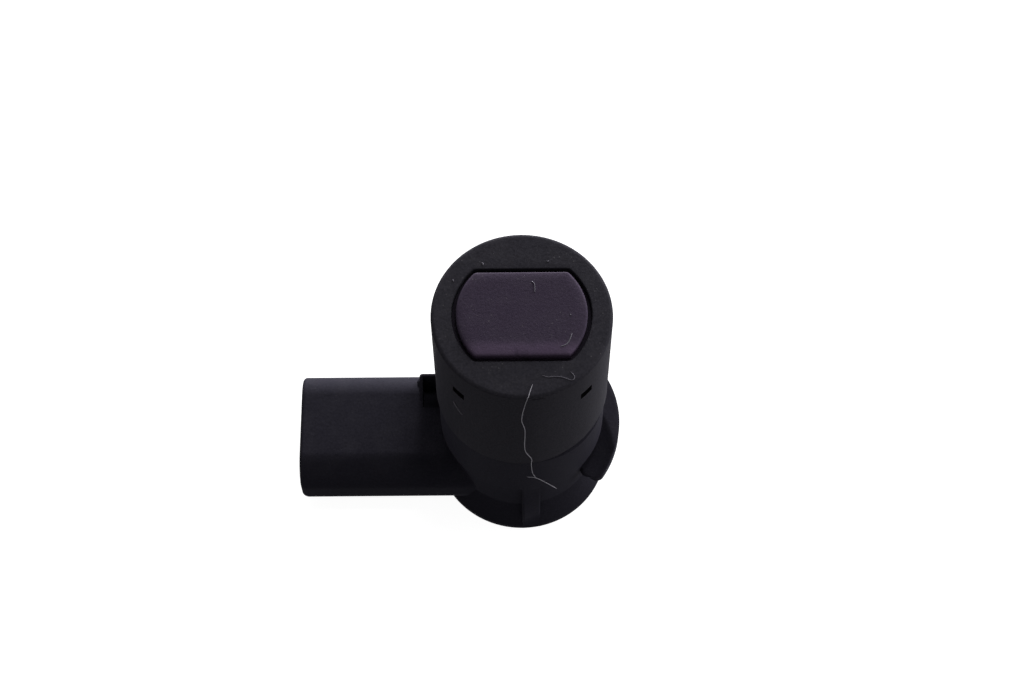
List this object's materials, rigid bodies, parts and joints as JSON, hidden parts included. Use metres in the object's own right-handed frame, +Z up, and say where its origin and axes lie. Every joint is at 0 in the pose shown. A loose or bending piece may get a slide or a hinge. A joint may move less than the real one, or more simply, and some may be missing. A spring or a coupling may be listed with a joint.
{
  "type": "parking sensor",
  "caption": "Ultrasonic parking sensor with a round black head, a flatted purple-black membrane in its face and a plug socket at the side of its housing.",
  "frame": {"origin": "middle of the rear face, on the head's axis", "axes": "+Z up the head's axis to the sensing face, -X out of the plug socket's mouth"},
  "size_m": [0.0447, 0.024, 0.045],
  "materials": {
    "sleeve_plastic": "fine moulded grain, dusty",
    "housing_plastic": "fine moulded grain, slight sheen",
    "membrane_lacquer": "purple-black lacquer on aluminium",
    "silicone": "matt",
    "silicone_grey": "matt",
    "piezo_ceramic": "matt ceramic, silvered",
    "foam": "open-cell foam",
    "red_insulation": "satin",
    "black_insulation": "satin",
    "seal_rubber": "satin",
    "board_laminate": "solder mask",
    "black_moulding": "matt",
    "ferrite": "matt ceramic",
    "copper_wire": "enamelled wire",
    "chip_epoxy": "matt epoxy",
    "can_aluminium": "satin",
    "capacitor_ceramic": "fired ceramic",
    "resistor_film": "glazed",
    "tinned_brass": "tin plating"
  },
  "bodies": {
    "root": {"front_sleeve": "sleeve_plastic", "membrane_cup": "membrane_lacquer", "decoupling_ring": "silicone", "soft_washer": "silicone_grey", "piezo_disc": "piezo_ceramic", "damping_foam": "foam", "lead_signal": "red_insulation", "lead_return": "black_insulation", "sleeve_seal": "seal_rubber", "housing": "housing_plastic", "circuit_board": "board_laminate", "transformer_base": "black_moulding", "transformer_core": "ferrite", "transformer_winding": "copper_wire", "control_chip": "chip_epoxy", "storage_capacitor": "can_aluminium", "protection_diode": "chip_epoxy", "chip_capacitors": "capacitor_ceramic", "chip_resistors": "resistor_film", "terminal_pin_1": "tinned_brass", "terminal_pin_2": "tinned_brass", "terminal_pin_3": "tinned_brass", "cover_gasket": "silicone_grey", "rear_cover": "housing_plastic"}
  },
  "joints": []
}
